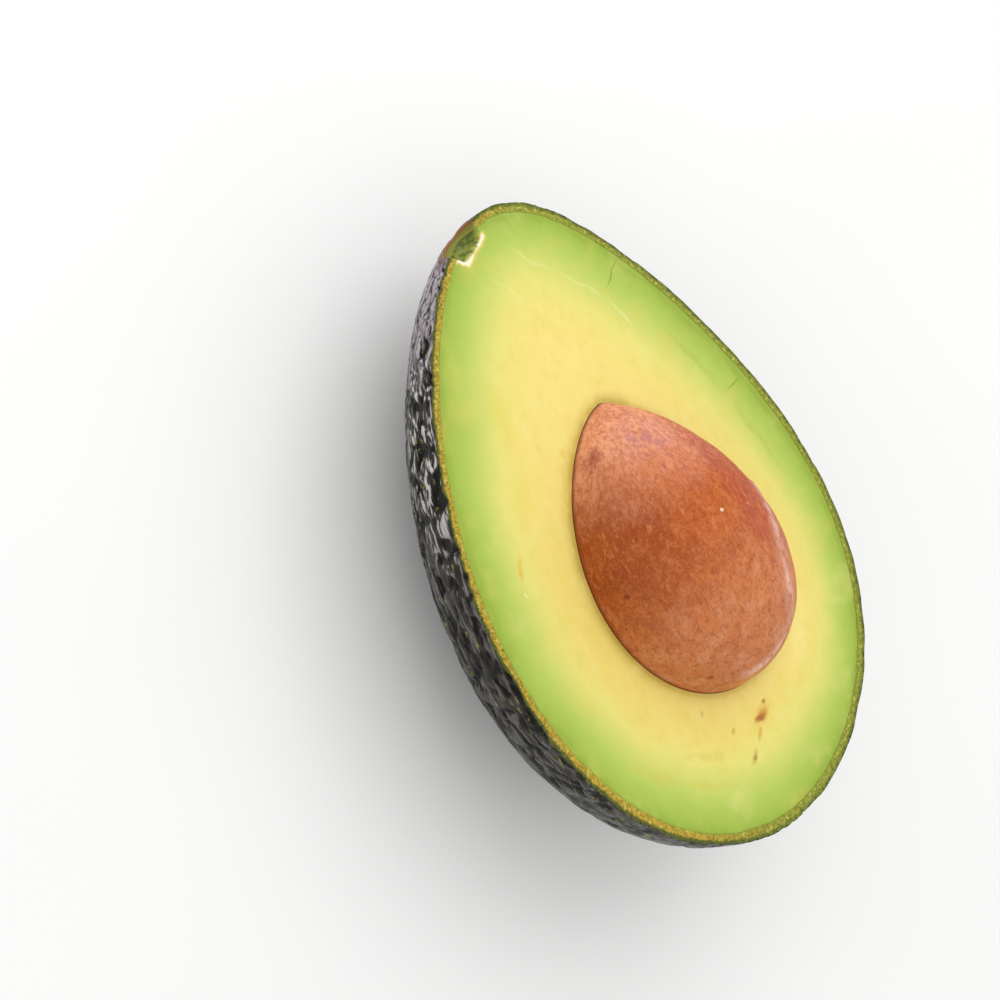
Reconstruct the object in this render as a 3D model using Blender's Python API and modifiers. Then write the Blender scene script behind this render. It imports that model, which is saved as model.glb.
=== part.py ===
"""Half of a ripe avocado, cut lengthwise, lying on its rounded back with the cut face up.

It is three pieces: the leathery skin, a bowl 2 mm thick, the flesh that fills it, and the
whole pit, which sits half sunk in the cut face. Each is first shaped in the frame of the cut
face: X runs along the fruit from the stem end to the blossom end, Z is square to the cut face,
and the face is at height 0. An empty then tilts and lifts the three, as the half rests on a table.
"""

import math

import bmesh
import bpy
from mathutils import Matrix, Vector

MM = 0.001

# The whole fruit: an egg whose narrow end, at the stem, is slanted. A taper makes the blossom
# half larger than the stem half, a slimness narrows both ends, and a side power below 1 makes
# the sides drop more steeply from the cut face.
HALF_LENGTH_MM = 49.6
HALF_WIDTH_MM = 33.6
WIDTH_TAPER = 0.17
END_SLIMNESS = 0.07
STEM_SLANT_MM = 8.7
HALF_DEPTH_MM = 30.0
DEPTH_TAPER = 0.20
SIDE_POWER = 0.9

SKIN_MM = 2.0
GAP_MM = 0.3

# The pit: an egg that points at the stem, with its long axis turned a little in the cut face.
PIT_MIDDLE_MM = (5.0, 1.7)
PIT_HALF_LENGTH_MM = 22.9
PIT_HALF_WIDTH_MM = 18.3
PIT_HALF_THICKNESS_MM = 17.0
PIT_POINTEDNESS = 0.18
PIT_LEAN_MM = 1.8

# The hollow that the stem left, a shallow cup sunk in from the side of the stem end.
STEM_TURN_DEG = 207.0
STEM_CUP_RADIUS_MM = 4.2
STEM_CUP_FLOOR_RADIUS_MM = 2.4
STEM_CUP_DEPTH_MM = 3.2

# How the half lies: the stem end dips, and the skin is pressed flat where it rests.
REST_PITCH_DEG = 5.5
FLAT_SPOT_SINK_MM = 0.7

# How finely the curved surfaces are divided.
FRUIT_MERIDIANS = 64
FRUIT_RINGS = 28
PIT_MERIDIANS = 36
PIT_RINGS = 18
CUP_SIDES = 24

# How far a cutter, or a surface that is trimmed, runs past what it cuts.
SPARE_MM = 3.0
KNIFE_SIZE_MM = 140.0

# Smooth shading stops at edges that turn by more than this.
SHARP_EDGE_DEG = 35.0


def clear_scene():
    for old in list(bpy.data.objects):
        bpy.data.objects.remove(old)


def fruit_point(direction):
    """The point of the whole fruit's skin that stands for a direction, a unit vector.

    A cross-section is nearly an ellipse, whose width and depth change along the fruit. The slant
    moves one side of the stem end forward and the other back, and fades out at the blossom end.
    """
    along, across, up = direction
    width = HALF_WIDTH_MM * (1.0 + WIDTH_TAPER * along - END_SLIMNESS * along ** 2)
    depth = HALF_DEPTH_MM * (1.0 + DEPTH_TAPER * along)
    slant = STEM_SLANT_MM * across * (1.0 - along) / 2
    steep_up = math.copysign(abs(up) ** SIDE_POWER, up)
    return Vector((HALF_LENGTH_MM * along + slant, width * across, depth * steep_up)) * MM


def pit_point(direction):
    """The point of the pit's surface that stands for a direction.

    The pointedness makes it an egg: it narrows the pit more the nearer it is to the stem.
    """
    along, across, up = direction
    narrowing = max((1.0 + along) / 2, 0.0) ** PIT_POINTEDNESS
    x = PIT_MIDDLE_MM[0] + PIT_HALF_LENGTH_MM * along
    y = PIT_MIDDLE_MM[1] + PIT_LEAN_MM * along + PIT_HALF_WIDTH_MM * across * narrowing
    return Vector((x, y, PIT_HALF_THICKNESS_MM * up * narrowing)) * MM


def shaped_ball(point_of, meridians, rings, grow_mm=0.0):
    """A closed ball whose points are carried onto a shape, then moved out along their normals."""
    ball = bmesh.new()
    bmesh.ops.create_uvsphere(ball, u_segments=meridians, v_segments=rings, radius=1.0)
    for vert in ball.verts:
        vert.co = point_of(vert.co.normalized())
    ball.normal_update()
    normals = [vert.normal.copy() for vert in ball.verts]
    for vert, normal in zip(ball.verts, normals):
        vert.co += normal * grow_mm * MM
    return ball


def mesh_object(name, shape, collection, parent):
    mesh = bpy.data.meshes.new(name)
    shape.to_mesh(mesh)
    shape.free()
    obj = bpy.data.objects.new(name, mesh)
    obj.parent = parent
    collection.objects.link(obj)
    return obj


def material(name, color, roughness):
    finish = bpy.data.materials.new(name)
    finish.use_nodes = True
    shader = finish.node_tree.nodes["Principled BSDF"]
    shader.inputs["Base Color"].default_value = (*color, 1.0)
    shader.inputs["Roughness"].default_value = roughness
    shader.inputs["Metallic"].default_value = 0.0
    return finish


def cut_with(obj, cutter):
    cut = obj.modifiers.new("cut by " + cutter.name, "BOOLEAN")
    cut.operation = "DIFFERENCE"
    cut.object = cutter


def as_cutter(obj):
    obj.hide_render = True
    obj.display_type = "WIRE"
    return obj


def block(name, bottom_mm, top_mm, collection, parent):
    """A wide box between two heights, to trim with."""
    shape = bmesh.new()
    bmesh.ops.create_cube(shape, size=1.0)
    for vert in shape.verts:
        height = top_mm if vert.co.z > 0 else bottom_mm
        vert.co = Vector((vert.co.x * KNIFE_SIZE_MM, vert.co.y * KNIFE_SIZE_MM, height)) * MM
    return as_cutter(mesh_object(name, shape, collection, parent))


def knife(collection, parent):
    """The cut that halved the fruit takes away everything above the cut face."""
    return block("knife", 0.0, KNIFE_SIZE_MM, collection, parent)


def table_cutter(collection):
    """What lies below the table's top is trimmed off, which leaves the flat spot."""
    return block("table_cutter", -KNIFE_SIZE_MM, 0.0, collection, None)


def stem_cup(collection, parent):
    """A short cone that lies in the cut face and points out of the stem end, wider at its mouth."""
    turn = math.radians(STEM_TURN_DEG)
    step = math.radians(1.0)
    rim, before, after = [
        fruit_point((math.cos(angle), math.sin(angle), 0.0)) for angle in (turn, turn - step, turn + step)
    ]
    along = (after - before).normalized()
    outward = Vector((along.y, -along.x, 0.0))
    slope = (STEM_CUP_RADIUS_MM - STEM_CUP_FLOOR_RADIUS_MM) / STEM_CUP_DEPTH_MM
    shape = bmesh.new()
    bmesh.ops.create_cone(
        shape,
        cap_ends=True,
        segments=CUP_SIDES,
        radius1=STEM_CUP_FLOOR_RADIUS_MM * MM,
        radius2=(STEM_CUP_RADIUS_MM + slope * SPARE_MM) * MM,
        depth=(STEM_CUP_DEPTH_MM + SPARE_MM) * MM,
    )
    cutter = as_cutter(mesh_object("stem_cup", shape, collection, parent))
    cutter.location = rim + outward * (SPARE_MM - STEM_CUP_DEPTH_MM) / 2 * MM
    cutter.rotation_euler = outward.to_track_quat("Z", "Y").to_euler()
    return cutter


def skin(collection, parent):
    """The fruit's outside as an open bowl, a little tall for the knife, thickened inwards."""
    bowl = shaped_ball(fruit_point, FRUIT_MERIDIANS, FRUIT_RINGS)
    everything = bowl.verts[:] + bowl.edges[:] + bowl.faces[:]
    bmesh.ops.bisect_plane(
        bowl, geom=everything, plane_co=(0, 0, SPARE_MM * MM), plane_no=(0, 0, 1), clear_outer=True
    )
    obj = mesh_object("skin", bowl, collection, parent)
    wall = obj.modifiers.new("thickness", "SOLIDIFY")
    wall.thickness = SKIN_MM * MM
    wall.offset = -1.0
    return obj


def flesh(collection, parent):
    """All of the fruit inside the skin."""
    body = shaped_ball(fruit_point, FRUIT_MERIDIANS, FRUIT_RINGS, -(SKIN_MM + GAP_MM))
    return mesh_object("flesh", body, collection, parent)


def pit(collection, parent):
    return mesh_object("pit", shaped_ball(pit_point, PIT_MERIDIANS, PIT_RINGS), collection, parent)


def pit_hollow(collection, parent):
    """The pit's shape, larger by the gap that it lies in the flesh with."""
    hollow = shaped_ball(pit_point, PIT_MERIDIANS, PIT_RINGS, GAP_MM)
    return as_cutter(mesh_object("pit_hollow", hollow, collection, parent))


def lay_down(holder, skin_obj):
    """Tilts the half as it rests, centred on the origin and pressed down by the flat spot's sink."""
    tilt = Matrix.Rotation(math.radians(-REST_PITCH_DEG), 3, "Y")
    kept = [tilt @ vert.co for vert in skin_obj.data.vertices if vert.co.z <= SPARE_MM * MM / 100]
    middle = [(min(p[axis] for p in kept) + max(p[axis] for p in kept)) / 2 for axis in (0, 1)]
    lowest = min(p.z for p in kept)
    holder.rotation_euler = tilt.to_euler()
    holder.location = (-middle[0], -middle[1], -lowest - FLAT_SPOT_SINK_MM * MM)


def build():
    clear_scene()
    pieces = bpy.data.collections.new("halved_avocado")
    cutters = bpy.data.collections.new("cutters")
    for group in (pieces, cutters):
        bpy.context.scene.collection.children.link(group)
    holder = bpy.data.objects.new("cut_face_frame", None)
    pieces.objects.link(holder)

    skin_obj = skin(pieces, holder)
    flesh_obj = flesh(pieces, holder)
    pit_obj = pit(pieces, holder)
    lay_down(holder, skin_obj)

    halving = knife(cutters, holder)
    stem = stem_cup(cutters, holder)
    for obj in (skin_obj, flesh_obj):
        cut_with(obj, halving)
        cut_with(obj, stem)
    cut_with(flesh_obj, pit_hollow(cutters, holder))
    cut_with(skin_obj, table_cutter(cutters))

    skin_obj.data.materials.append(material("skin", (0.045, 0.040, 0.035), 0.38))
    flesh_obj.data.materials.append(material("flesh", (0.80, 0.70, 0.20), 0.45))
    pit_obj.data.materials.append(material("pit", (0.52, 0.20, 0.085), 0.55))
    for obj in (skin_obj, flesh_obj, pit_obj):
        obj.data.shade_smooth()
        obj.data.set_sharp_from_angle(angle=math.radians(SHARP_EDGE_DEG))


build()
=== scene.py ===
"""The looks of half a ripe avocado, lying on its rounded back with the cut face up.

Three closed pieces stand for the three solids of the frame: the pebbled skin with its cut rim, the
flesh with the hollows of the stem and the pit, and the pit. Each is worked out as rings of points in
the frame of the cut face, in millimetres: X runs along the fruit from the stem end to the blossom
end, Z is square to the cut face, and the face is at height 0. A turn of 0 faces the blossom end and
a turn of pi the stem end. The last step carries each piece to where the half rests.
"""
import math

import bpy
import numpy as np
from mathutils import Matrix, Vector


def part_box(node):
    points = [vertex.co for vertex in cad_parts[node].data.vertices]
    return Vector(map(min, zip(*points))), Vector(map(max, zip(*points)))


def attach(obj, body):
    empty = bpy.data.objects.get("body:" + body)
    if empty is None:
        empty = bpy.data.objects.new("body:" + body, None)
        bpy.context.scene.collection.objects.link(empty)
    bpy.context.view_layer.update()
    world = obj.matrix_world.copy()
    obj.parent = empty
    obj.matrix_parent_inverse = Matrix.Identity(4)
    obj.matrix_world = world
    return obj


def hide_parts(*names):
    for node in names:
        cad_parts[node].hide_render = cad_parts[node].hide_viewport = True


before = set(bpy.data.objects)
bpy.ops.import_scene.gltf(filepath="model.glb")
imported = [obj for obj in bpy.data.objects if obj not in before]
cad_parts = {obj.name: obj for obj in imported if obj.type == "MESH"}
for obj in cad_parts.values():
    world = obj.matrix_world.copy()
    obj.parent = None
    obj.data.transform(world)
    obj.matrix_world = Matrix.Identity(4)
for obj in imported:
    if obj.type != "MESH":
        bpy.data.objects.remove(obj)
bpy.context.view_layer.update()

MM = 0.001

# The fruit, the pit and the stem's cup, as in the frame's solids.
HALF_LENGTH = 49.6
HALF_WIDTH = 33.6
WIDTH_TAPER = 0.17
END_SLIMNESS = 0.07
STEM_SLANT = 8.7
HALF_DEPTH = 30.0
DEPTH_TAPER = 0.20
SIDE_POWER = 0.9
SKIN_THICKNESS = 2.0
WALL_GAP = 0.3
PIT_MIDDLE = np.array((5.0, 1.7, 0.0))
PIT_HALF_LENGTH = 22.9
PIT_HALF_WIDTH = 18.3
PIT_HALF_THICKNESS = 17.0
PIT_POINTEDNESS = 0.18
PIT_LEAN = 1.8
STEM_TURN = math.radians(207.0)
CUP_MOUTH = 4.2
CUP_FLOOR = 2.4
CUP_DEPTH = 3.2
REST_PITCH = math.radians(-5.5)

# The fine seams that show where the skin, the flesh and the pit meet at the cut face.
SKIN_SEAM = 0.02
PIT_SEAM = 0.05

# The relief of the outside of the skin, with the least depth below the smooth skin that it keeps.
GROOVE_DEPTH = 0.52
PLATE_HEIGHT = 0.26
SWELL_HEIGHT = 0.42
RIDGE_DEPTH = 0.12
LEAST_RELIEF = 0.05
RELIEF_SOFTNESS = 0.06

# The cut face: how far in from the skin the green reaches, how low the flesh and the rim lie, and
# how much lower the flesh lies where it meets the pit.
GREEN_REACH = 16.0
FLESH_DROP = 0.10
RIM_DROP = 0.02
PIT_SIDE_DROP = 0.15

# The relief of the pit, below the smooth pit.
PIT_LEAST_RELIEF = 0.30
PIT_LUMP_HEIGHT = 0.13
PIT_GRAIN_HEIGHT = 0.04
FOLD_HEIGHT = 0.22

# Grids: how many points there are round each piece, and how many rings each stretch has.
SKIN_COLUMNS = 800
OUTSIDE_RINGS = 102
RIM_RINGS = 10
INSIDE_RINGS = 8
FLESH_COLUMNS = 720
FLESH_SIDE_RINGS = 14
FACE_RINGS = 98
HOLLOW_RINGS = 16
PIT_RINGS = 250
PIT_COLUMNS = 320

# Edges that turn by more than this are shaded sharp.
SHARP_EDGE = math.radians(70.0)

# How many points are measured at a time against a line, which keeps the arrays small.
BATCH = 3000

# Marks on the cut face: where each starts and ends, half its width, how strong it is, and its colour
# as a screen shows it. The places follow points picked by eye in the photo, which a scratch script
# turned into millimetres with the fitted camera. Five ends are as that script printed them.
FLESH_MARKS = (
    ((-44.5, -5.9), (-37.6, 2.4), 0.40, 0.35, (240, 238, 160)),
    ((-39.5, 1.0), (-30.6, 8.8), 0.35, 0.35, (240, 238, 160)),
    ((-32.0, 8.2), (-25.7, 11.9), 0.35, 0.45, (248, 240, 172)),
    ((-41.5, -10.1), (-34.6, -4.0), 0.35, 0.25, (244, 242, 166)),
    ((-36.5, -6.5), (-27.0, 0.5), 0.60, 0.25, (226, 214, 92)),
    ((-28.0, -16.0), (-14.0, -19.0), 2.20, 0.40, (226, 212, 88)),
    ((-16.0, -17.5), (-4.0, -21.5), 1.80, 0.30, (230, 214, 92)),
    ((-14.5, -9.2), (-12.0, -10.0), 0.70, 0.55, (236, 196, 74)),
    ((-3.2, -23.2), (1.6, -25.4), 0.50, 0.75, (238, 180, 58)),
    ((2.0, -25.6), (3.1, -25.2), 0.30, 0.80, (252, 240, 168)),
    ((-25.8, 16.0), (-12.3, 23.0), 0.90, 0.35, (164, 182, 66)),
    ((-13.8, 22.4), (4.7, 28.0), 0.90, 0.35, (164, 182, 66)),
    ((18.0, 22.0), (32.0, 13.0), 2.20, 0.50, (252, 238, 150)),
    ((30.0, -21.5), (37.6, -12.0), 1.20, 0.45, (206, 200, 76)),
    ((36.0, -14.4), (41.4, -2.6), 1.00, 0.45, (206, 200, 76)),
    ((33.0, -12.2), (36.6, -1.8), 0.90, 0.40, (216, 196, 76)),
    ((30.4, 8.6), (36.4, 2.4), 2.60, 0.30, (234, 204, 84)),
    ((31.6, 7.6), (35.0, 3.6), 1.30, 0.60, (214, 152, 62)),
    ((32.6, 6.9), (34.2, 4.4), 0.80, 0.75, (190, 118, 42)),
    ((33.9, 3.6), (33.4, 6.6), 0.65, 0.80, (166, 100, 36)),
    ((31.2, 7.2), (32.0, 6.1), 0.50, 0.80, (160, 104, 40)),
    ((34.2, 5.4), (37.0, 2.4), 0.45, 0.70, (212, 160, 66)),
    ((37.0, 2.4), (39.4, 0.2), 0.75, 0.60, (190, 150, 56)),
    ((38.0, 1.8), (38.6, 0.9), 0.45, 0.70, (156, 120, 44)),
    ((32.5, -0.4), (34.0, -1.5), 0.55, 0.55, (186, 146, 56)),
    ((28.5, -4.5), (29.9, -5.4), 0.50, 0.50, (192, 150, 56)),
    ((-37.6, 14.2), (-32.6, 7.8), 0.16, 0.75, (120, 140, 52)),
    ((-13.6, 26.6), (-12.3, 22.4), 0.16, 0.75, (120, 140, 52)),
)

# The thin pale fold that runs round the right side of the pit, as points on its surface. All but the
# last are as a scratch script printed them, from points picked by eye in the photo.
PIT_FOLD = (
    (1.0, 13.6, 8.7),
    (8.6, 10.8, 12.8),
    (15.9, 9.5, 12.6),
    (21.6, 9.7, 9.6),
    (25.2, 5.7, 7.6),
    (26.8, 1.0, 5.6),
)

# Small marks on the pit: a point on its surface, the mark's radius, and its colour. The points are as
# the same scratch script printed them.
PIT_MARKS = (
    # The first two marks, near white, are painted glints.
    ((2.3, 1.5, 14.6), 0.45, (252, 224, 190)),
    ((3.4, 7.1, 13.8), 0.55, (252, 224, 190)),
    ((7.8, -9.9, 10.6), 0.55, (238, 186, 140)),
    ((8.6, -13.3, 5.3), 0.80, (112, 42, 26)),
    ((24.2, -4.9, 5.1), 0.70, (168, 66, 52)),
)

# The camera, in the frame of the cut face.
CAMERA_PLACE = np.array((-18.7, -246.3, 319.0))
CAMERA_AIM = np.array((-10.9, -23.1, 0.0))
PICTURE_UP = np.array((-0.923, 0.326, 0.206))
LENS_MM = 100.0
SENSOR_MM = 36.0

# The light: an even white sky, and one soft square lamp, placed from the middle of the cut face.
LAMP_FROM = np.array((-320.0, 90.0, 560.0))
LAMP_WIDTH_M = 0.7
LAMP_WATTS = 1.6
SKY_STRENGTH = 0.81
FLOOR_HALF_WIDTH = 900.0


def smooth(value, low, high):
    """0 below low, 1 above high, and a smooth cubic step between."""
    share = np.clip((value - low) / (high - low), 0.0, 1.0)
    return share * share * (3.0 - 2.0 * share)


def hashed(cell, seed):
    """A number from 0 to 1 for each whole-number cell: its indices are mixed by large primes."""
    mixed = cell.astype(np.int64) @ np.array((73856093, 19349663, 83492791)) + seed * 2654435761
    mixed = mixed & 0xFFFFFFFF
    for _ in range(2):
        mixed = (((mixed >> 16) ^ mixed) * 0x45D9F3B) & 0xFFFFFFFF
    return ((mixed >> 16) ^ mixed) / 2.0 ** 32


def hashed_vector(cell, seed):
    return np.stack([hashed(cell, seed + axis) for axis in range(3)], -1)


def noise(points, seed):
    """Gradient noise from about -1 to 1: the random slopes of the eight corners of each unit cell,
    blended by a smooth step."""
    base = np.floor(points)
    inside = points - base
    blend = inside ** 3 * (inside * (inside * 6.0 - 15.0) + 10.0)
    total = np.zeros(points.shape[:-1])
    for corner in np.ndindex(2, 2, 2):
        corner = np.array(corner)
        weight = np.prod(np.where(corner, blend, 1.0 - blend), axis=-1)
        slope = hashed_vector(base + corner, seed) - 0.5
        total += weight * np.sum(slope * (inside - corner), -1)
    return total * 2.4


def noise_vector(points, seed):
    return np.stack([noise(points, seed + axis) for axis in range(3)], -1)


def rough(points, seed, octaves):
    """Noise summed over octaves, each twice as fine and half as strong as the one before."""
    total = np.zeros(points.shape[:-1])
    for octave in range(octaves):
        total += noise(points * 2.0 ** octave, seed + 10 * octave) / 2.0 ** octave
    return total


def cells(points, seed):
    """For random cells, one in each unit cube: how far a point is from its cell's border, as the
    second nearest distance less the nearest, how far it is from the cell's middle, and the cell's
    own random number."""
    base = np.floor(points)
    nearest = np.full(points.shape[:-1], 9.0)
    second = nearest.copy()
    own = np.zeros(points.shape[:-1])
    for step in np.ndindex(3, 3, 3):
        cell = base + np.array(step) - 1.0
        distance = np.linalg.norm(points - cell - hashed_vector(cell, seed), axis=-1)
        closer = distance < nearest
        second = np.where(closer, nearest, np.minimum(second, distance))
        own = np.where(closer, hashed(cell, seed + 3), own)
        nearest = np.minimum(nearest, distance)
    return second - nearest, nearest, own


def unit(vectors):
    return vectors / np.maximum(np.linalg.norm(vectors, axis=-1, keepdims=True), 1e-12)


def fruit_surface(turn, dip):
    """The smooth skin: a ball's point at a turn round it and a dip below its equator, carried onto
    a slanted egg whose width and depth taper towards the stem."""
    along = np.cos(turn) * np.cos(dip)
    across = np.sin(turn) * np.cos(dip)
    x = HALF_LENGTH * along + STEM_SLANT * across * (1.0 - along) / 2.0
    y = HALF_WIDTH * across * (1.0 + WIDTH_TAPER * along - END_SLIMNESS * along ** 2)
    z = -HALF_DEPTH * np.sin(dip) ** SIDE_POWER * (1.0 + DEPTH_TAPER * along)
    return np.stack((x, y, z), -1)


def pit_surface(along, across, up):
    """The smooth pit: a direction's point, on an egg that narrows towards the stem."""
    narrowing = np.clip((1.0 + along) / 2.0, 0.0, None) ** PIT_POINTEDNESS
    x = PIT_HALF_LENGTH * along
    y = PIT_LEAN * along + PIT_HALF_WIDTH * across * narrowing
    z = PIT_HALF_THICKNESS * up * narrowing
    return PIT_MIDDLE + np.stack((x, y, z), -1)


def outline_normals(edge):
    """The unit normals of a closed outline in the cut face: its tangents turned out of the fruit."""
    tangent = np.roll(edge, -1, axis=0) - np.roll(edge, 1, axis=0)
    return unit(np.stack((tangent[:, 1], -tangent[:, 0], np.zeros(len(edge))), -1))


def ring_normals(rings):
    """The outward unit normals of rings that ring_mesh can join: the step round a ring crossed with
    the step to the next ring. A ring that has shrunk to a point takes its neighbour's mean."""
    around = np.roll(rings, -1, axis=1) - np.roll(rings, 1, axis=1)
    onward = np.gradient(rings, axis=0)
    normal = unit(np.cross(around, onward))
    for pole, beside in ((0, 1), (-1, -2)):
        if np.ptp(rings[pole], axis=0).max() < 1e-6:
            normal[pole] = unit(normal[beside].mean(0))
    return normal


def side_rings(turns, drop, count):
    """The smooth skin as rings, from the middle of its underside up to a given drop below the cut
    face, with its outward normals. The rings lie closer together near the cut face."""
    edge = fruit_surface(turns, np.zeros_like(turns))
    deepest = HALF_DEPTH * (1.0 + DEPTH_TAPER * np.cos(turns))
    top = np.arcsin(np.clip(drop / deepest, 0.0, 0.9) ** (1.0 / SIDE_POWER))
    share = np.linspace(1.0, 0.0, count)[:, None] ** 1.25
    dip = top + (math.pi / 2.0 - top) * share
    rings = fruit_surface(np.broadcast_to(turns, dip.shape), dip)
    normal = ring_normals(rings)
    normal[-1] = outline_normals(edge)
    return rings, normal


def resting_place():
    """How the cut face lies in the row frame: a turn about Y, then a move that brings the outline of
    the skin to the box of the frame's skin."""
    tilt = np.array(Matrix.Rotation(REST_PITCH, 3, "Y"))
    turns = np.linspace(0.0, 2.0 * math.pi, 1440)
    dips = np.linspace(0.0, math.pi / 2.0, 90)
    shape = fruit_surface(*np.meshgrid(turns, dips)).reshape(-1, 3) @ tilt.T
    low, high = (np.array(corner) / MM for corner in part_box("skin"))
    move = (low + high) / 2.0 - (shape.min(0) + shape.max(0)) / 2.0
    move[2] = high[2] - shape[:, 2].max()
    return tilt, move


TILT, MOVE = resting_place()


def at_rest(points):
    """Points of the cut face's frame, in millimetres, as points of the row frame, in metres."""
    return (points @ TILT.T + MOVE) * MM


def cup_axes():
    """The middle of the stem cup's mouth, the direction out of it, and the direction across it that
    goes with a growing turn."""
    turns = STEM_TURN + np.array((-0.01, 0.0, 0.01))
    edge = fruit_surface(turns, np.zeros(3))
    across = unit(edge[2] - edge[0])
    return edge[1], np.array((across[1], -across[0], 0.0)), across


CUP_PLACE, CUP_OUT, CUP_ACROSS = cup_axes()


def cup_drop(points):
    """How far the cut face drops into the stem's cup: a half round whose radius shrinks from the
    mouth to the floor, with a ragged edge at the floor."""
    inward = -((points - CUP_PLACE) @ CUP_OUT)
    across = (points - CUP_PLACE) @ CUP_ACROSS
    flat = points * np.array((1.0, 1.0, 0.0))
    ragged = 0.30 * noise(flat / 1.3, 50) + 0.18 * noise(flat / 0.5, 51)
    share = np.clip(inward / CUP_DEPTH, 0.0, 1.0)
    radius = CUP_MOUTH + (CUP_FLOOR - CUP_MOUTH) * share + 0.5 * ragged * share
    open_part = 1.0 - smooth(inward + ragged, CUP_DEPTH - 0.25, CUP_DEPTH + 0.25)
    return np.sqrt(np.clip(radius ** 2 - across ** 2, 0.0, None)) * open_part


def distance_to(points, line):
    """The distance of each point to the nearest of the points that make up a line."""
    flat = points.reshape(-1, 1, points.shape[-1])
    found = [
        np.sqrt(((flat[start:start + BATCH] - line[None]) ** 2).sum(-1).min(1))
        for start in range(0, len(flat), BATCH)
    ]
    return np.concatenate(found).reshape(points.shape[:-1])


def dotted(corners, spacing=0.2):
    """Points along the straight runs between corners."""
    corners = np.array(corners, float)
    lengths = np.linalg.norm(np.diff(corners, axis=0), axis=1)
    reached = np.concatenate(((0.0,), np.cumsum(lengths)))
    steps = np.linspace(0.0, reached[-1], int(reached[-1] / spacing) + 2)
    return np.stack([np.interp(steps, reached, axis) for axis in corners.T], -1)


def ring_mesh(name, rings, materials, material_of_gap):
    """A closed mesh from rings of points, whose first and last rings have shrunk to one point.

    A quad joins each point with its neighbours round the ring and on the next ring, and a fan of
    triangles closes each end. The faces between two rings take the material that is given for that
    gap. What would lie below the table is pressed flat against it.
    """
    count, columns = rings.shape[0] - 2, rings.shape[1]
    points = at_rest(np.concatenate((rings[0, :1], rings[1:-1].reshape(-1, 3), rings[-1, :1])))
    points[:, 2] = np.maximum(points[:, 2], 0.0)
    here = np.arange(columns)
    following = (here + 1) % columns
    start = 1 + np.arange(count - 1)[:, None] * columns
    quads = np.stack((
        start + here,
        start + following,
        start + following + columns,
        start + here + columns,
    ), -1)
    pole = np.zeros_like(here)
    first_fan = np.stack((pole, 1 + following, 1 + here), -1)
    last = 1 + (count - 1) * columns
    last_fan = np.stack((last + here, last + following, pole + len(points) - 1), -1)
    corners = np.concatenate((first_fan.ravel(), quads.ravel(), last_fan.ravel())).astype(np.int32)
    sizes = np.concatenate((pole + 3, np.full(quads.size // 4, 4), pole + 3))

    mesh = bpy.data.meshes.new(name)
    mesh.vertices.add(len(points))
    mesh.loops.add(len(corners))
    mesh.polygons.add(len(sizes))
    mesh.vertices.foreach_set("co", points.astype(np.float32).ravel())
    mesh.loops.foreach_set("vertex_index", corners)
    mesh.polygons.foreach_set("loop_start", (np.cumsum(sizes) - sizes).astype(np.int32))
    for material in materials:
        mesh.materials.append(material)
    mesh.polygons.foreach_set("material_index", np.repeat(material_of_gap, columns).astype(np.int32))
    mesh.update(calc_edges=True)
    mesh.validate()
    mesh.shade_smooth()
    mesh.set_sharp_from_angle(angle=SHARP_EDGE)
    piece = bpy.data.objects.new(name, mesh)
    bpy.context.scene.collection.objects.link(piece)
    return piece


def paint(piece, name, values):
    """Stores a number for each point of a piece made by ring_mesh, for its material to read."""
    flat = np.concatenate((values[0, :1], values[1:-1].ravel(), values[-1, :1]))
    attribute = piece.data.attributes.new(name, "FLOAT", "POINT")
    attribute.data.foreach_set("value", flat.astype(np.float32))


def skin_relief(points):
    """How deep the outside lies below the smooth skin, and how much of that is groove.

    Broad smooth plates are parted by short broken grooves, the borders of random cells, with long
    pits between, on slow swells. All run along the fruit. They fade into fine ridges near the stem,
    and they are weaker towards the blossom end and just below the cut face on the right.
    """
    along = points[..., 0] / HALF_LENGTH
    bend = noise_vector(points / 4.2, 20)
    border, _, own = cells((points + 1.5 * bend) / np.array((5.6, 2.8, 2.8)), 1)
    broken = smooth(noise(points / 2.6, 12), -0.25, 0.30)
    groove = (1.0 - smooth(border, 0.0, 0.30)) * broken
    pillow = smooth(border, 0.0, 0.9) * (0.3 + 0.7 * own)
    _, near, chance = cells((points + 0.8 * bend) / np.array((3.2, 1.4, 1.4)), 5)
    dent = (1.0 - smooth(near, 0.08, 0.42)) * smooth(chance, 0.40, 0.62)
    hollow = np.maximum(groove, 0.8 * dent)
    stem = smooth(-along, 0.78, 0.96)
    blossom = smooth(along, 0.15, 0.95)
    right = smooth(points[..., 1], -6.0, 12.0) * smooth(points[..., 2], -8.0, -2.0)
    strength = (1.0 - 0.75 * stem) * (1.0 - 0.45 * blossom) * (1.0 - 0.80 * right)
    swell = noise(points / np.array((5.0, 3.6, 3.6)), 8)
    ridges = noise(points / np.array((5.0, 0.9, 0.9)), 9) * stem
    depth = (GROOVE_DEPTH * hollow - PLATE_HEIGHT * pillow) * strength + RIDGE_DEPTH * ridges
    depth -= SWELL_HEIGHT * swell * (1.0 - 0.6 * stem)
    return depth, hollow * strength


def inner_edge(edge):
    """Where the skin ends and the flesh begins: the outline moved in by the skin's thickness, which
    varies a little and is less at the stem end and along the right side."""
    stem = 1.0 - smooth(edge[:, 0], -10.0, 42.0)
    right = smooth(edge[:, 1], -4.0, 20.0)
    uneven = 0.14 * noise(edge / 2.2, 30) + 0.07 * noise(edge / 0.8, 31)
    width = SKIN_THICKNESS - 0.05 - 0.35 * stem - 0.35 * right + uneven
    return edge - outline_normals(edge) * width[:, None]


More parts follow.
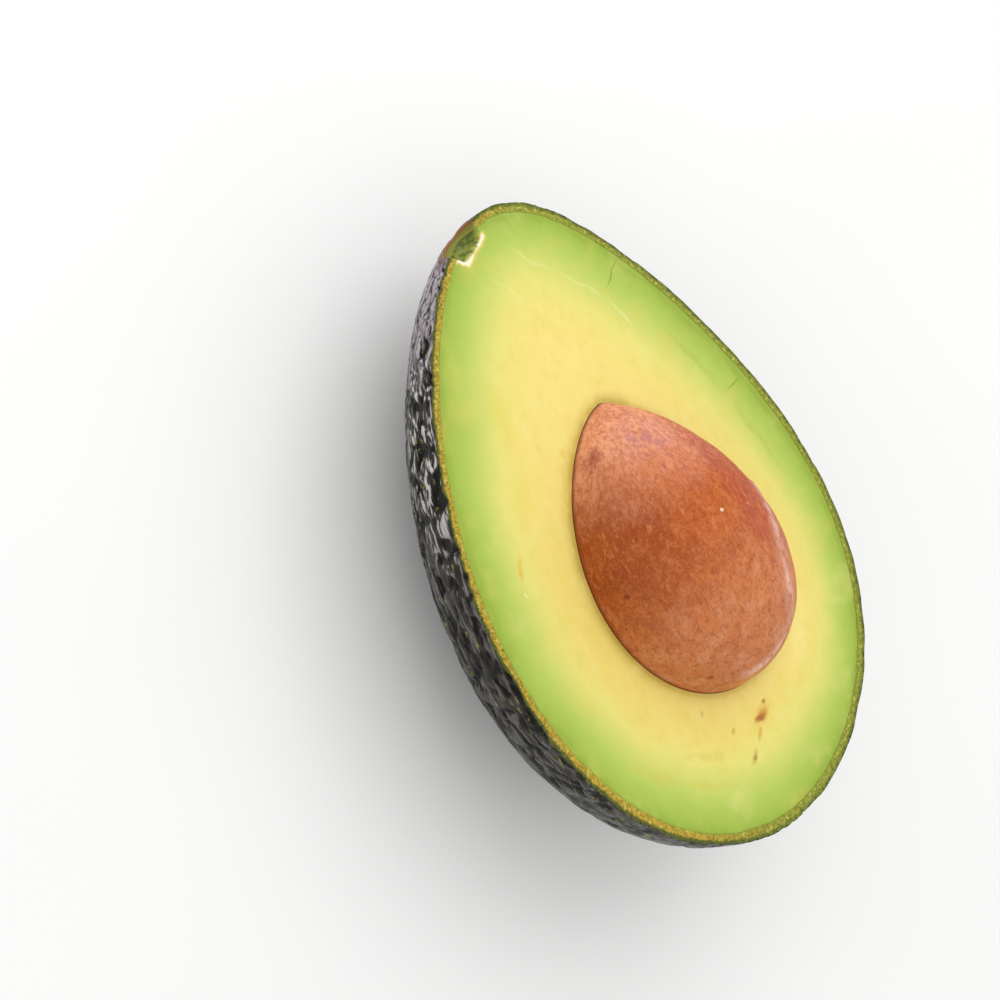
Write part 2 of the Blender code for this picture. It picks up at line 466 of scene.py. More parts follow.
def skin():
    """The skin: from the middle of its underside up the outside, in over the cut rim, and down the
    inside. In the stem's cup the rim follows the cup's wall. The relief is softly limited, so that
    it never stands out past the smooth skin."""
    turns = np.linspace(0.0, 2.0 * math.pi, SKIN_COLUMNS, endpoint=False)
    edge = fruit_surface(turns, np.zeros_like(turns))

    outside, normal = side_rings(turns, cup_drop(edge), OUTSIDE_RINGS)
    relief, groove = skin_relief(outside)
    above_least = (relief - np.percentile(relief, 12.0)) / RELIEF_SOFTNESS
    relief = LEAST_RELIEF + RELIEF_SOFTNESS * np.logaddexp(0.0, above_least)
    outside = outside - normal * relief[..., None]

    share = np.linspace(0.0, 1.0, RIM_RINGS)[:, None, None]
    rim = outside[-1] * (1.0 - share) + inner_edge(edge) * share
    middle = np.sin(math.pi * share[..., 0])
    grain = noise(rim / 0.55, 32) * 0.6 + noise(rim / 1.4, 33) * 0.4
    rim[..., 2] = -cup_drop(rim) - middle * (0.07 + 0.10 * np.abs(grain)) - RIM_DROP
    rim[0] = outside[-1]

    inside, inward = side_rings(turns, -rim[-1, :, 2], INSIDE_RINGS)
    inside = (inside - inward * SKIN_THICKNESS)[::-1]
    rings = np.concatenate((outside, rim[1:], inside[1:]))
    gaps = np.repeat((0, 1), (OUTSIDE_RINGS - 1, RIM_RINGS + INSIDE_RINGS - 2))
    piece = ring_mesh("avocado_skin", rings, (skin_finish(), rim_finish()), gaps)

    blank = np.zeros((OUTSIDE_RINGS, SKIN_COLUMNS))
    under = np.ones((INSIDE_RINGS - 1, SKIN_COLUMNS))
    across = np.broadcast_to(share[1:, :, 0], (RIM_RINGS - 1, SKIN_COLUMNS))
    cup = smooth(-rim[1:, :, 2], 0.3, 0.9)
    paint(piece, "groove", np.concatenate((groove, blank[:RIM_RINGS - 1], under)))
    paint(piece, "across", np.concatenate((blank, across, under)))
    paint(piece, "cup", np.concatenate((blank, cup, 0.0 * under)))
    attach(piece, "root")
    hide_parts("skin")


def torn_edge(points, cup):
    """Where the flesh is torn pale beside the stem's cup, with a near-white core that is partly a
    painted highlight: a band along the cup's floor and along its lower side, outside the cup itself."""
    corners = ((3.3, -2.8), (3.7, 2.4), (1.0, 3.9))
    line = dotted([CUP_PLACE - CUP_OUT * inward + CUP_ACROSS * across for inward, across in corners])
    away = distance_to(points[..., :2], line[:, :2])
    away += 0.30 * noise(points / 0.7, 52) + 0.20 * noise(points / 2.0, 53)
    return (1.0 - smooth(away, 0.0, 0.85)) * (1.0 - smooth(cup, 0.1, 0.5))


def ripeness(points, from_rim):
    """From 0, the green under the skin, to 1, the full yellow. The green reaches further in at the
    stem end and at the blossom end, and less far along the right side."""
    stem = smooth(-points[..., 0], 12.0, 44.0)
    right = smooth(points[..., 1], 2.0, 26.0) * smooth(points[..., 0], -16.0, 16.0)
    blossom = smooth(points[..., 0], 18.0, 42.0) * (1.0 - right)
    reach = GREEN_REACH * (1.0 + 0.12 * stem + 0.14 * blossom - 0.28 * right)
    drift = 0.9 * noise(points / 9.0, 37) + 0.35 * noise(points / 2.5, 38)
    return np.clip((from_rim + drift) / reach, 0.0, 1.0)


def flesh():
    """The flesh: from the middle of its underside up the side, in over the cut face to the edge of
    the pit's hollow, and down the hollow."""
    turns = np.linspace(0.0, 2.0 * math.pi, FLESH_COLUMNS, endpoint=False)
    edge = fruit_surface(turns, np.zeros_like(turns))

    dip = np.linspace(0.0, math.pi / 2.0, HOLLOW_RINGS)[:, None]
    hollow = pit_surface(np.cos(turns) * np.cos(dip), np.sin(turns) * np.cos(dip), -np.sin(dip))
    hollow = PIT_MIDDLE + (hollow - PIT_MIDDLE) * (1.0 + PIT_SEAM / PIT_HALF_WIDTH)

    share = np.linspace(0.0, 1.0, FACE_RINGS)[:, None, None]
    share = 0.6 * share + 0.4 * smooth(share, 0.0, 1.0)
    outer = inner_edge(edge) - outline_normals(edge) * SKIN_SEAM
    face = outer + (hollow[0] - outer) * share
    cup = cup_drop(face)
    torn = torn_edge(face, cup)
    from_rim = distance_to(face[..., :2], edge[:, :2]) - SKIN_THICKNESS
    from_pit = distance_to(face[..., :2], hollow[0, :, :2])
    left_of_pit = smooth(-face[..., 1] - 0.5 * face[..., 0], -14.0, 6.0)
    marks = {
        "ripeness": ripeness(face, from_rim),
        # A stain round the pit and painted contact shade, stronger on the pit's left.
        "stain_and_shade_by_pit": (1.0 - smooth(from_pit, 0.0, 2.4)) * (0.2 + 0.6 * left_of_pit),
        "cup": smooth(cup, 0.2, 0.7),
        "torn": torn,
    }
    waves = noise(face / 6.0, 34) + 0.4 * noise(face / 1.8, 35)
    lumps = np.abs(noise(face / 0.8, 36))
    face[..., 2] = -cup - FLESH_DROP + 0.05 * waves - torn * (0.10 + 0.22 * lumps)
    face[..., 2] -= PIT_SIDE_DROP * (1.0 - smooth(from_pit, 0.0, 0.9))

    side, outward = side_rings(turns, -face[0, :, 2], FLESH_SIDE_RINGS)
    settled = np.minimum(np.linspace(3.0, 0.0, FLESH_SIDE_RINGS), 1.0)[:, None, None]
    side = side - outward * (SKIN_THICKNESS + SKIN_SEAM + (WALL_GAP - SKIN_SEAM) * settled)
    rings = np.concatenate((side[:-1], face, hollow[1:]))
    piece = ring_mesh("avocado_flesh", rings, (flesh_finish(),), np.zeros(len(rings) - 1, int))
    for name, values in marks.items():
        sides = np.repeat(values[:1], FLESH_SIDE_RINGS - 1, 0)
        hollows = np.repeat(values[-1:], HOLLOW_RINGS - 1, 0)
        paint(piece, name, np.concatenate((sides, values, hollows)))
    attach(piece, "root")
    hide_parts("flesh")


def pit():
    """The pit: rings round its long axis from the pointed end to the round end, with the columns
    closer together on the half that shows. Low lumps, a fine grain and the raised fold lie in a
    thin layer under the smooth pit, which ends at the cut face."""
    angle = np.linspace(0.0, math.pi, PIT_RINGS)[:, None]
    even = np.linspace(0.0, 2.0 * math.pi, PIT_COLUMNS, endpoint=False)
    around = even + 0.45 * np.cos(even)
    along = np.broadcast_to(-np.cos(angle), (PIT_RINGS, PIT_COLUMNS))
    shape = pit_surface(along, np.sin(angle) * np.cos(around), np.sin(angle) * np.sin(around))
    normal = ring_normals(shape)

    fold = distance_to(shape, dotted(PIT_FOLD))
    lumps = rough(shape / 7.0, 40, 3)
    grain = noise(shape / np.array((2.2, 0.6, 0.6)), 44) + 0.6 * noise(shape / 0.5, 45)
    relief = PIT_LEAST_RELIEF - PIT_LUMP_HEIGHT * lumps - PIT_GRAIN_HEIGHT * grain
    relief -= FOLD_HEIGHT * np.exp(-(fold / 0.5) ** 2)
    relief = np.clip(relief, 0.0, None) * smooth(shape[..., 2], -0.3, 1.6)
    rings = shape - normal * relief[..., None]
    piece = ring_mesh("avocado_pit", rings, (pit_finish(),), np.zeros(PIT_RINGS - 1, int))
    paint(piece, "fold", np.exp(-(fold / 1.3) ** 2) * (0.7 + 0.6 * noise(shape / 2.0, 46)))
    # Painted shade where the pit meets the flesh, and below the cut face.
    paint(piece, "shade_below_face", 1.0 - smooth(shape[..., 2], -0.5, 0.8))
    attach(piece, "root")
    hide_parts("pit")


def seen(red, green, blue):
    """A colour as a screen shows it, from 0 to 255, as a linear colour with full alpha."""
    return tuple((channel / 255.0) ** 2.2 for channel in (red, green, blue)) + (1.0,)


class Finish:
    """A material under construction. Each call adds one node and returns its output."""

    def __init__(self, name):
        self.material = bpy.data.materials.new(name)
        self.material.use_nodes = True
        self.tree = self.material.node_tree
        self.shader = self.tree.nodes["Principled BSDF"]

    def node(self, kind, inputs, **settings):
        """Adds a node: each input is linked if it is another node's output, and else set."""
        made = self.tree.nodes.new("ShaderNode" + kind)
        for setting, value in settings.items():
            setattr(made, setting, value)
        for place, value in inputs.items():
            if isinstance(value, bpy.types.NodeSocket):
                self.tree.links.new(value, made.inputs[place])
            else:
                made.inputs[place].default_value = value
        return made

    def place(self):
        """The place on the piece in the frame of the cut face, in millimetres."""
        back = Matrix.Rotation(-REST_PITCH, 3, "Y")
        inputs = {
            "Vector": self.node("TexCoord", {}).outputs["Object"],
            "Scale": (1.0 / MM,) * 3,
            "Rotation": back.to_euler(),
            "Location": -(back @ Vector(MOVE)),
        }
        return self.node("Mapping", inputs).outputs[0]

    def value(self, name):
        return self.node("Attribute", {}, attribute_name=name).outputs["Fac"]

    def math(self, operation, first, second=0.0):
        return self.node("Math", {0: first, 1: second}, operation=operation).outputs[0]

    def wavy(self, vector, size, reach):
        """The place, carried up to a reach away by soft noise."""
        inputs = {"Vector": vector, "Scale": 1.0 / size, "Detail": 2.0}
        pushed = self.node("TexNoise", inputs).outputs[1]
        centred = self.node("VectorMath", {0: pushed, 1: (0.5,) * 3}, operation="SUBTRACT").outputs[0]
        inputs = {0: centred, 1: (3.0 * reach,) * 3, 2: vector}
        return self.node("VectorMath", inputs, operation="MULTIPLY_ADD").outputs[0]

    def stroke(self, vector, start, end, half_width, strength):
        """A soft stroke on the cut face, which tapers towards both ends: the full strength in the
        middle, and 0 from the border outwards."""
        reach = math.hypot(end[0] - start[0], end[1] - start[1]) / 2.0
        inputs = {
            "Vector": vector,
            "Location": ((start[0] + end[0]) / 2.0, (start[1] + end[1]) / 2.0, 0.0),
            "Rotation": (0.0, 0.0, math.atan2(end[1] - start[1], end[0] - start[0])),
            "Scale": (reach, half_width, 1000.0),
        }
        inside = self.node("Mapping", inputs, vector_type="TEXTURE").outputs[0]
        away = self.node("VectorMath", {0: inside}, operation="LENGTH").outputs["Value"]
        return self.step(away, 1.0, 0.2, 0.0, strength)

    def stretch(self, vector, factors):
        return self.node("VectorMath", {0: vector, 1: factors}, operation="MULTIPLY").outputs[0]

    def distance(self, vector, point):
        inputs = {0: vector, 1: tuple(point)}
        return self.node("VectorMath", inputs, operation="DISTANCE").outputs["Value"]

    def part(self, vector, axis):
        return self.node("SeparateXYZ", {0: vector}).outputs[axis]

    def noise(self, vector, size, detail=3.0, rough=0.5, warp=0.0):
        """Soft noise from 0 to 1 whose patches are about a size across, in millimetres."""
        inputs = {
            "Vector": vector,
            "Scale": 1.0 / size,
            "Detail": detail,
            "Roughness": rough,
            "Distortion": warp,
        }
        return self.node("TexNoise", inputs).outputs[0]

    def cells(self, vector, size):
        """The distance to the nearest of random points about a size apart, in sizes."""
        return self.node("TexVoronoi", {"Vector": vector, "Scale": 1.0 / size}).outputs["Distance"]

    def step(self, value, low, high, start=0.0, end=1.0):
        """A smooth step from start, where the value is low, to end, where it is high."""
        inputs = {"Value": value, "From Min": low, "From Max": high, "To Min": start, "To Max": end}
        return self.node("MapRange", inputs, interpolation_type="SMOOTHSTEP").outputs[0]

    def times(self, *factors):
        total = factors[0]
        for factor in factors[1:]:
            total = self.math("MULTIPLY", total, factor)
        return total

    def mix(self, share, first, second):
        """Two colours blended by a share of the second. Sockets 6 and 7 are the node's colours."""
        return self.node("Mix", {0: share, 6: first, 7: second}, data_type="RGBA").outputs[2]

    def ramp(self, value, stops):
        """Colours at given values, blended between them."""
        made = self.node("ValToRGB", {"Fac": value})
        elements = made.color_ramp.elements
        elements[0].position = stops[0][0]
        elements[1].position = stops[-1][0]
        for position, _ in stops[1:-1]:
            elements.new(position)
        for element, (_, color) in zip(elements, stops):
            element.color = color
        return made.outputs[0]

    def bump(self, height, depth, under=None):
        """Fine relief: the height, from 0 to 1, stands for a depth in millimetres."""
        inputs = {"Height": height, "Distance": depth * MM}
        if under is not None:
            inputs["Normal"] = under
        return self.node("Bump", inputs).outputs[0]

    def done(self, color, roughness, normal, specular):
        """Connects the surface. What is the same all over is set on the shader's own sockets."""
        self.tree.links.new(color, self.shader.inputs["Base Color"])
        self.tree.links.new(roughness, self.shader.inputs["Roughness"])
        self.tree.links.new(normal, self.shader.inputs["Normal"])
        self.shader.inputs["Specular IOR Level"].default_value = specular
        return self.material


def skin_finish():
    """The outside of the skin: dark brown plates with a waxy gloss, greener at the blossom end, with
    grooves darkened nearly black as painted shade, and yellow-green flecks. A painted highlight lies
    in long pale strands below the cut face towards the stem, with painted shade in dark strands
    between them, and a painted purple-grey sheen with dark streaks rings the stem's cup, whose lip
    is red-brown."""
    finish = Finish("pebbled_skin")
    place = finish.place()
    groove = finish.value("groove")
    along = finish.part(place, "X")
    stemward = finish.step(along, 10.0, -24.0)
    color = finish.ramp(finish.noise(place, 3.4, 3.0, 0.5), (
        (0.34, seen(32, 27, 21)),
        (0.50, seen(45, 40, 33)),
        (0.66, seen(58, 53, 46)),
    ))
    color = finish.mix(finish.step(along, 6.0, 42.0, 0.0, 0.8), color, seen(34, 33, 12))
    # Painted highlight: pale strands of sheen below the cut face towards the stem, with painted shade
    # in the dark strands between them.
    drawn_out = finish.stretch(finish.wavy(place, 7.0, 1.2), (0.11, 1.0, 1.0))
    strands = finish.noise(drawn_out, 0.8, 2.0, 0.5)
    painted_sheen = finish.times(
        finish.step(strands, 0.48, 0.62),
        finish.step(groove, 0.40, 0.12),
        finish.step(stemward, 0.0, 1.0, 0.13, 0.90),
        finish.step(finish.part(place, "Y"), 14.0, -4.0, 0.25, 1.0),
        finish.step(finish.part(place, "Z"), -15.0, -5.0, 0.12, 1.0),
    )
    color = finish.mix(painted_sheen, color, seen(212, 207, 208))
    shade = finish.times(finish.step(strands, 0.46, 0.36, 0.0, 0.6), stemward)
    color = finish.mix(shade, color, seen(26, 24, 18))
    # Painted shade: the grooves are darkened nearly to black.
    color = finish.mix(finish.step(groove, 0.20, 0.60), color, seen(14, 13, 7))
    dots = finish.cells(finish.stretch(finish.wavy(place, 1.2, 0.5), (0.45, 1.0, 1.0)), 1.4)
    uneven = finish.step(finish.noise(place, 1.6, 3.0), 0.30, 0.70, 0.10, -0.08)
    flecked = finish.times(
        finish.step(finish.math("ADD", dots, uneven), 0.26, 0.12, 0.0, 0.75),
        finish.step(finish.noise(place, 4.0, 2.0), 0.34, 0.52),
    )
    paler = finish.step(finish.noise(place, 2.0), 0.4, 0.6)
    fleck_color = finish.mix(paler, seen(90, 94, 40), seen(138, 138, 70))
    color = finish.mix(flecked, color, fleck_color)

    # Painted sheen: a purple-grey ring with dark streaks round the stem's cup. The red-brown lip is
    # the skin's own colour.
    from_cup = finish.distance(place, CUP_PLACE)
    wobble = finish.step(finish.noise(place, 1.5), 0.2, 0.8, -1.0, 1.0)
    wavering = finish.math("ADD", from_cup, wobble)
    ring = finish.step(wavering, 26.0, 7.0)
    streaks = finish.noise(finish.stretch(place, (0.25, 1.0, 1.0)), 0.8, 4.0, 0.6)
    neck_sheen_color = finish.mix(finish.step(streaks, 0.40, 0.54), seen(30, 24, 22), seen(176, 164, 170))
    color = finish.mix(finish.times(ring, finish.step(groove, 0.9, 0.2)), color, neck_sheen_color)
    lip = finish.times(finish.step(wavering, 6.2, 4.4), finish.step(streaks, 0.25, 0.6, 1.0, 0.6))
    color = finish.mix(lip, color, seen(92, 40, 34))

    wrinkles = finish.noise(finish.stretch(place, (0.45, 1.0, 1.0)), 1.1, 4.0, 0.55, 0.5)
    wrinkles = finish.times(wrinkles, finish.step(stemward, 0.0, 1.0, 0.5, 1.0))
    normal = finish.bump(finish.noise(place, 0.35, 3.0, 0.6), 0.015)
    normal = finish.bump(wrinkles, 0.32, normal)
    roughness = finish.step(finish.noise(place, 1.6, 3.0), 0.3, 0.7, 0.22, 0.36)
    return finish.done(color, roughness, normal, 0.13)


def rim_finish():
    """The skin where it is cut: a dark line and dark green outside, with painted shade darkening the
    green on the left, grainy mustard inside, greener on the right, and a thin green line against the
    flesh. In the stem's cup it is red-brown with a pale orange line, and olive towards the flesh."""
    finish = Finish("cut_rim")
    place = finish.place()
    across = finish.value("across")
    shaking = finish.step(finish.noise(place, 0.6, 3.0, 0.6), 0.2, 0.8, -0.14, 0.14)
    shaken = finish.math("ADD", across, shaking)
    left = finish.step(finish.part(place, "Y"), 4.0, -16.0)
    mustard = finish.mix(left, seen(158, 160, 54), seen(194, 166, 52))
    grains = finish.noise(place, 0.5, 4.0, 0.7)
    darker = finish.mix(left, seen(122, 128, 34), seen(152, 126, 30))
    mustard = finish.mix(finish.step(grains, 0.42, 0.60), mustard, darker)
    lumps = finish.step(finish.noise(place, 0.7, 3.0, 0.6), 0.55, 0.66, 0.0, 0.6)
    mustard = finish.mix(lumps, mustard, seen(222, 212, 112))
    pits = finish.times(
        finish.step(finish.cells(finish.wavy(place, 1.0, 0.3), 0.75), 0.26, 0.14, 0.0, 0.8),
        finish.step(finish.noise(place, 3.0), 0.46, 0.56),
    )
    mustard = finish.mix(pits, mustard, seen(78, 62, 14))

    patches = finish.step(finish.noise(place, 0.8), 0.4, 0.6)
    outer = finish.mix(patches, seen(90, 102, 26), seen(124, 134, 38))
    # Painted shade: the dark green outside is darker on the left side.
    outer = finish.mix(finish.times(left, 0.65), outer, seen(60, 70, 20))
    color = finish.mix(finish.step(shaken, 0.26, 0.48), outer, mustard)
    color = finish.mix(finish.step(shaken, 0.08, 0.01), color, seen(40, 36, 16))
    color = finish.mix(finish.step(shaken, 0.86, 1.02), color, seen(132, 156, 50))

    wall = finish.ramp(across, (
        (0.00, seen(196, 118, 88)),
        (0.07, seen(216, 152, 112)),
        (0.13, seen(104, 40, 32)),
        (0.22, seen(150, 88, 58)),
        (0.32, seen(120, 112, 42)),
        (1.00, seen(138, 142, 56)),
    ))
    color = finish.mix(finish.value("cup"), color, wall)
    normal = finish.bump(finish.noise(place, 0.3, 3.0, 0.6), 0.10)
    normal = finish.bump(grains, 0.06, normal)
    roughness = finish.step(lumps, 0.0, 0.6, 0.55, 0.4)
    return finish.done(color, roughness, normal, 0.35)


def flesh_finish():
    """The flesh: green under the skin turning through pale green to butter yellow, with soft clouds
    and a faint grain in the yellow, a stain round the pit with painted contact shade, stronger on its
    left, small blemishes, a pale torn edge at the cup whose near-white core is partly a painted
    highlight, and olive walls in the cup."""
    finish = Finish("cut_flesh")
    place = finish.place()
    fibres = finish.noise(finish.stretch(place, (0.4, 1.0, 1.0)), 1.4, 4.0, 0.6)
    ripeness_here = finish.value("ripeness")
    ripe = finish.math("ADD", ripeness_here, finish.step(fibres, 0.3, 0.7, -0.012, 0.012))
    color = finish.ramp(ripe, (
        (0.00, seen(150, 176, 58)),
        (0.05, seen(162, 188, 70)),
        (0.22, seen(182, 204, 88)),
        (0.36, seen(205, 214, 104)),
        (0.54, seen(232, 224, 118)),
        (0.78, seen(243, 223, 120)),
        (1.00, seen(245, 224, 126)),
    ))
    golden = finish.times(
        finish.step(finish.part(place, "X"), -24.0, 12.0, 0.0, 0.4),
        finish.step(finish.part(place, "Y"), 10.0, -8.0),
        finish.step(ripeness_here, 0.5, 0.8),
    )
    color = finish.mix(golden, color, seen(238, 212, 100))
    clouds = finish.noise(place, 9.0, 3.0)
    color = finish.mix(finish.step(clouds, 0.52, 0.75, 0.0, 0.30), color, seen(236, 210, 100))
    color = finish.mix(finish.step(clouds, 0.45, 0.25, 0.0, 0.30), color, seen(244, 232, 146))
    grain = finish.noise(finish.stretch(place, (0.6, 1.0, 1.0)), 2.0, 5.0, 0.7)
    yellow = finish.step(ripeness_here, 0.25, 0.7)
    deeper = finish.times(yellow, finish.step(grain, 0.50, 0.70, 0.0, 0.30))
    color = finish.mix(deeper, color, seen(220, 204, 76))
    lighter = finish.times(yellow, finish.step(grain, 0.48, 0.30, 0.0, 0.25))
    color = finish.mix(lighter, color, seen(248, 238, 156))
    # Painted contact shade and a stain round the pit.
    patches = finish.step(finish.noise(place, 4.0), 0.30, 0.60, 0.25, 0.75)
    color = finish.mix(finish.times(finish.value("stain_and_shade_by_pit"), patches), color, seen(188, 164, 62))
    wavy = finish.wavy(place, 5.0, 0.7)
    gaps = finish.step(finish.noise(place, 1.6, 3.0), 0.28, 0.52, 0.25, 1.0)
    for start, end, half_width, strength, tint in FLESH_MARKS:
        mark = finish.times(finish.stroke(wavy, start, end, half_width, strength), gaps)
        color = finish.mix(mark, color, seen(*tint))

    torn = finish.value("torn")
    color = finish.mix(finish.step(torn, 0.0, 0.5, 0.0, 0.85), color, seen(232, 204, 96))
    # The near-white core of the torn edge is partly a painted highlight.
    color = finish.mix(finish.step(torn, 0.50, 0.95), color, seen(250, 246, 220))
    olive = finish.step(finish.noise(place, 1.4), 0.4, 0.6)
    cup_wall = finish.mix(olive, seen(84, 96, 26), seen(134, 142, 56))
    color = finish.mix(finish.value("cup"), color, cup_wall)

    normal = finish.bump(finish.noise(place, 0.35, 3.0, 0.6), 0.02)
    normal = finish.bump(fibres, 0.05, normal)
    roughness = finish.step(finish.noise(place, 2.5), 0.3, 0.7, 0.38, 0.52)
    return finish.done(color, roughness, normal, 0.4)


def pit_finish():
    """The pit: orange-brown, paler towards its round end and right side, partly as painted light,
    with pale scuffs there that are partly painted sheen, and painted shade on its left, with fine
    lengthwise streaks, blotches and sand-like grain. Its point is peach with pink threads, a lavender
    haze and a bruise. A reddish band with thin veins runs along its right side, and a pale fold round
    the right of its round end, above a painted orange glow near the flesh. Two painted glints lie on
    its top, and painted shade darkens it at the cut face and below."""
    finish = Finish("pit_coat")
    place = finish.place()
    long_way = finish.part(place, "X")
    side = finish.part(place, "Y")
    streaks = finish.noise(finish.stretch(place, (0.42, 1.0, 1.0)), 0.6, 6.0, 0.72)
    mottle = finish.noise(place, 4.5, 5.0, 0.62, 0.6)
    color = finish.ramp(mottle, (
        (0.30, seen(166, 74, 24)),
        (0.46, seen(188, 90, 32)),
        (0.58, seen(202, 106, 44)),
        (0.72, seen(220, 132, 76)),
    ))
    # Painted light: paler towards the round end and the right side, partly the pit's own tone.
    lower = finish.step(finish.math("ADD", long_way, finish.times(side, 0.3)), 0.0, 18.0)
    color = finish.mix(finish.times(lower, 0.62), color, seen(216, 136, 90))
    rubbed = finish.noise(finish.stretch(place, (0.6, 1.0, 1.0)), 2.4, 5.0, 0.7)
    # Pale scuffs there, partly painted sheen.
    scuffs_and_sheen = finish.times(lower, finish.step(rubbed, 0.48, 0.64), 0.42)
    color = finish.mix(scuffs_and_sheen, color, seen(232, 164, 126))
    # Painted shade on the pit's left.
    shaded = finish.times(
        finish.step(side, -1.0, -11.0, 0.0, 0.65),
        finish.step(long_way, 20.0, 4.0),
    )
    color = finish.mix(shaded, color, seen(148, 64, 22))
    color = finish.mix(finish.step(streaks, 0.52, 0.66, 0.0, 0.45), color, seen(150, 62, 32))
    color = finish.mix(finish.step(streaks, 0.47, 0.34, 0.0, 0.35), color, seen(224, 140, 84))
    blotches = finish.noise(finish.stretch(place, (0.7, 1.0, 1.0)), 1.2, 4.0, 0.7, 0.4)
    color = finish.mix(finish.step(blotches, 0.52, 0.66, 0.0, 0.36), color, seen(144, 56, 30))
    color = finish.mix(finish.step(blotches, 0.46, 0.32, 0.0, 0.30), color, seen(230, 152, 104))
    sand = finish.noise(place, 0.42, 4.0, 0.7)
    color = finish.mix(finish.step(sand, 0.52, 0.66, 0.0, 0.35), color, seen(146, 62, 30))
    color = finish.mix(finish.step(sand, 0.48, 0.34, 0.0, 0.25), color, seen(226, 146, 96))

    ragged = finish.math("ADD", long_way, finish.step(mottle, 0.3, 0.7, -2.0, 2.0))
    speckled = finish.step(streaks, 0.62, 0.42, 0.45, 1.0)
    peach = finish.times(finish.step(ragged, 1.0, -15.0, 0.0, 0.95), speckled)
    color = finish.mix(peach, color, seen(250, 170, 134))
    threads = finish.noise(finish.stretch(place, (0.35, 1.0, 1.0)), 1.3, 5.0, 0.7, 0.6)
    tinged = finish.times(
        finish.step(ragged, -3.0, -10.0),
        finish.step(side, -6.0, -1.0),
        finish.step(threads, 0.48, 0.62, 0.0, 0.5),
    )
    color = finish.mix(tinged, color, seen(186, 98, 88))
    lavender = finish.step(finish.distance(place, (-11.0, -0.5, 8.0)), 7.0, 1.0, 0.0, 0.50)
    lavender = finish.times(lavender, finish.step(threads, 0.38, 0.66))
    color = finish.mix(lavender, color, seen(190, 128, 140))
    uneven = finish.wavy(place, 2.5, 1.0)
    bruise = finish.times(
        finish.step(finish.distance(uneven, (-11.0, -8.6, 3.4)), 2.8, 0.4, 0.0, 0.75),
        finish.step(threads, 0.34, 0.60, 0.35, 1.0),
    )
    color = finish.mix(bruise, color, seen(140, 54, 44))
    band = finish.times(
        finish.step(finish.part(uneven, "Y"), 3.0, 6.5, 0.0, 0.7),
        finish.step(long_way, 14.0, 6.0),
        finish.step(streaks, 0.40, 0.60, 0.3, 1.0),
    )
    color = finish.mix(band, color, seen(176, 68, 50))

    vein_noise = finish.noise(finish.stretch(uneven, (0.4, 1.0, 1.0)), 2.6, 2.0, 0.5)
    from_vein = finish.math("ABSOLUTE", finish.math("SUBTRACT", vein_noise, 0.5))
    veins = finish.times(
        finish.step(from_vein, 0.020, 0.003, 0.0, 0.45),
        finish.step(finish.noise(place, 5.0), 0.42, 0.58),
        finish.step(side, 0.0, 6.0),
        finish.step(long_way, 18.0, 8.0),
    )
    color = finish.mix(veins, color, seen(134, 46, 34))
    specks = finish.times(
        finish.step(finish.cells(uneven, 1.2), 0.20, 0.08, 0.0, 0.40),
        finish.step(finish.noise(place, 3.0), 0.48, 0.62),
    )
    color = finish.mix(specks, color, seen(112, 36, 24))
    worn = finish.noise(finish.stretch(uneven, (0.4, 1.0, 1.0)), 0.9, 4.0, 0.7)
    fold = finish.times(finish.value("fold"), finish.step(worn, 0.36, 0.56, 0.15, 0.95))
    color = finish.mix(fold, color, seen(240, 196, 180))
    # The first two of these marks are painted glints.
    for point, size, tint in PIT_MARKS:
        mark = finish.step(finish.distance(uneven, point), size, 0.4 * size, 0.0, 0.9)
        color = finish.mix(mark, color, seen(*tint))
    uneven_height = finish.step(mottle, 0.3, 0.7, -1.5, 1.5)
    height = finish.math("ADD", finish.part(place, "Z"), uneven_height)
    # Painted glow: warm orange light on the pit near the flesh.
    painted_glow = finish.times(
        finish.step(height, 6.0, 1.0),
        finish.step(long_way, 19.0, 24.0),
        finish.step(side, -1.0, 3.0, 0.0, 0.6),
    )
    color = finish.mix(painted_glow, color, seen(244, 164, 78))
    # Painted shade at the seam with the flesh and below it.
    color = finish.mix(finish.value("shade_below_face"), color, seen(130, 66, 34))

    fine = finish.noise(place, 0.26, 4.0, 0.65)
    normal = finish.bump(fine, 0.06)
    normal = finish.bump(streaks, 0.10, normal)
    roughness = finish.step(mottle, 0.3, 0.7, 0.48, 0.6)
    return finish.done(color, roughness, normal, 0.24)


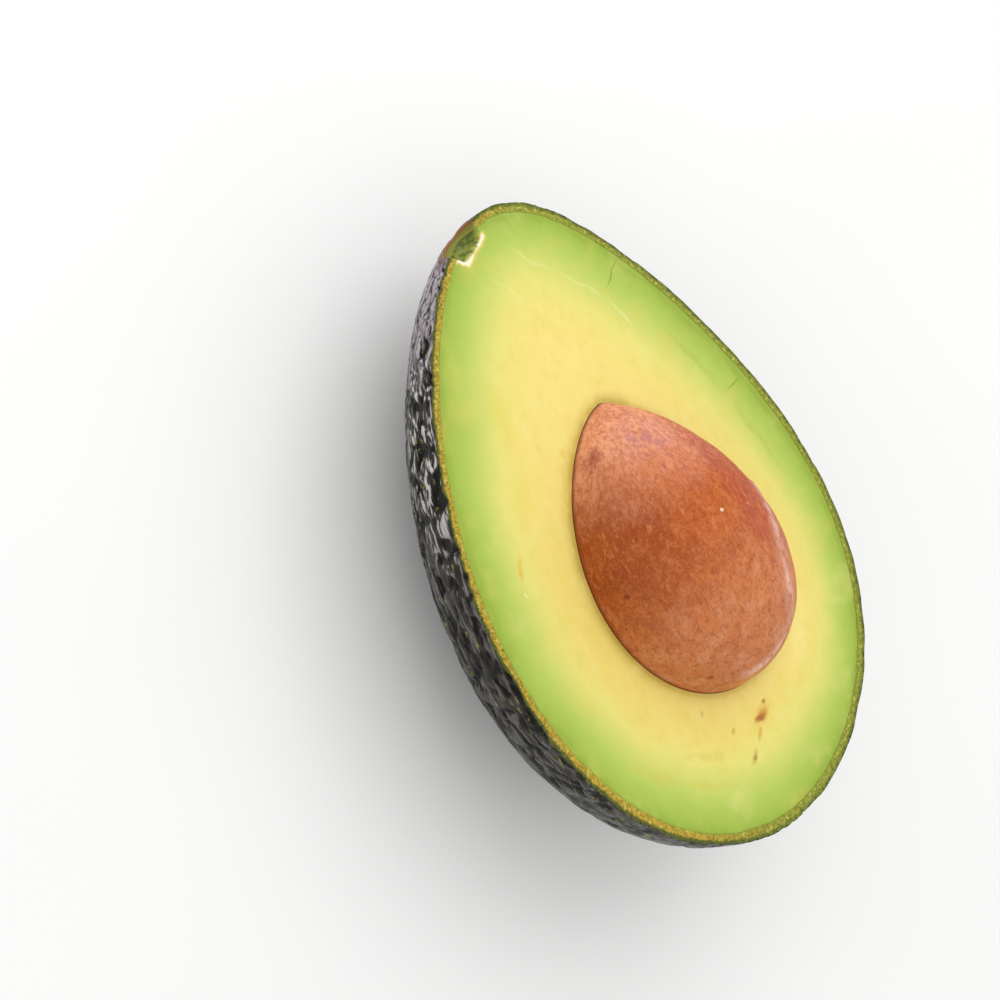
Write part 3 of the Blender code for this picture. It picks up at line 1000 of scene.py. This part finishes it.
def floor_finish():
    """A pale matt tabletop with the slightest unevenness of tone."""
    finish = Finish("pale_table")
    place = finish.place()
    cloud = finish.noise(place, 120.0, 2.0)
    color = finish.mix(finish.step(cloud, 0.3, 0.7), seen(251, 251, 250), seen(254, 254, 253))
    normal = finish.bump(finish.noise(place, 2.0), 0.01)
    return finish.done(color, finish.step(cloud, 0.3, 0.7, 0.6, 0.7), normal, 0.2)


def floor():
    """The table: one level square under the fruit."""
    half = FLOOR_HALF_WIDTH * MM
    corners = [(-half, -half, 0.0), (half, -half, 0.0), (half, half, 0.0), (-half, half, 0.0)]
    mesh = bpy.data.meshes.new("table")
    mesh.from_pydata(corners, [], [(0, 1, 2, 3)])
    mesh.materials.append(floor_finish())
    table = bpy.data.objects.new("table", mesh)
    bpy.context.scene.collection.objects.link(table)


def lamp():
    """A soft lamp that faces the middle of the cut face, and that the camera doesn't see."""
    light = bpy.data.lights.new("lamp", "AREA")
    light.shape = "SQUARE"
    light.size = LAMP_WIDTH_M
    light.energy = LAMP_WATTS
    holder = bpy.data.objects.new("lamp", light)
    holder.visible_camera = False
    middle = Vector(at_rest(np.zeros(3)))
    holder.location = at_rest(LAMP_FROM)
    holder.rotation_euler = (middle - holder.location).to_track_quat("-Z", "Y").to_euler()
    bpy.context.scene.collection.objects.link(holder)


def sky():
    """An even white surrounding."""
    world = bpy.data.worlds.new("studio")
    world.use_nodes = True
    background = world.node_tree.nodes["Background"]
    background.inputs["Color"].default_value = (1.0, 1.0, 1.0, 1.0)
    background.inputs["Strength"].default_value = SKY_STRENGTH
    bpy.context.scene.world = world
    bpy.context.scene.view_settings.view_transform = "Standard"


def camera():
    """Looks down on the cut face, with the stem end up and to the left in the picture."""
    lens = bpy.data.cameras.new("camera")
    lens.lens = LENS_MM
    lens.sensor_width = SENSOR_MM
    back = unit(CAMERA_PLACE - CAMERA_AIM)
    right = unit(np.cross(PICTURE_UP, back))
    upward = np.cross(back, right)
    turned = TILT @ np.stack((right, upward, back), -1)
    holder = bpy.data.objects.new("camera", lens)
    holder.matrix_world = Matrix.Translation(at_rest(CAMERA_PLACE)) @ Matrix(turned.tolist()).to_4x4()
    bpy.context.scene.collection.objects.link(holder)
    bpy.context.scene.camera = holder


camera()
skin()
flesh()
pit()
floor()
lamp()
sky()
